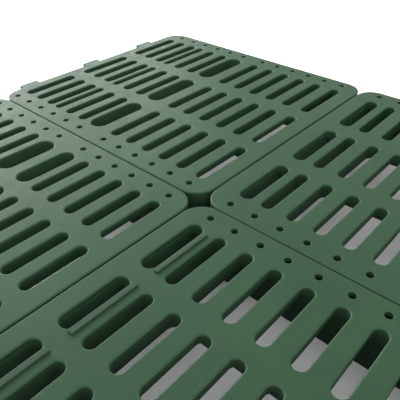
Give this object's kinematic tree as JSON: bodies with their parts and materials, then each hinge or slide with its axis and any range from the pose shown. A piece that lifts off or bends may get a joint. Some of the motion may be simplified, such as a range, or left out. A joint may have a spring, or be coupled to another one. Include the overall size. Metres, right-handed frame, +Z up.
{
  "type": "slatted floor panel set",
  "caption": "Laid set of interlocking slatted plastic floor panels with round-ended drainage slots, drain holes, rounded corners and push-in connector clips.",
  "frame": {"origin": "on the ground, at the middle of the laid floor's bounding box", "axes": "+X along the slots, +Y towards the back edge with the free connector clips, +Z up"},
  "size_m": [0.9164, 1.0732, 0.0762],
  "materials": {
    "panel_plastic": "satin moulded",
    "clip_plastic": "satin moulded",
    "strip_plastic": "satin moulded"
  },
  "bodies": {
    "back_right": {"panel_back_right": "panel_plastic", "clip_back_right_1": "clip_plastic", "clip_back_right_2": "clip_plastic", "clip_back_right_3": "clip_plastic"},
    "back_left": {"panel_back_left": "panel_plastic", "clip_back_left_1": "clip_plastic", "clip_back_left_2": "clip_plastic", "clip_back_left_3": "clip_plastic"},
    "front_right": {"panel_front_right": "panel_plastic", "clip_front_right_1": "clip_plastic", "clip_front_right_2": "clip_plastic", "clip_front_right_3": "clip_plastic"},
    "front_left": {"panel_front_left": "panel_plastic", "clip_front_left_1": "clip_plastic", "clip_front_left_2": "clip_plastic", "clip_front_left_3": "clip_plastic", "locking_strip_1": "strip_plastic", "locking_strip_2": "strip_plastic", "locking_strip_3": "strip_plastic"}
  },
  "joints": [
    {"name": "back_left_lift", "type": "slide", "parent": "back_right", "child": "back_left", "axis": [0, 0, 1], "range_m": [0, 0.15]},
    {"name": "front_right_pull", "type": "slide", "parent": "back_right", "child": "front_right", "axis": [0, -1, 0], "range_m": [0, 0.1]},
    {"name": "front_left_pull", "type": "slide", "parent": "back_right", "child": "front_left", "axis": [0, -1, 0], "range_m": [0, 0.1]}
  ]
}
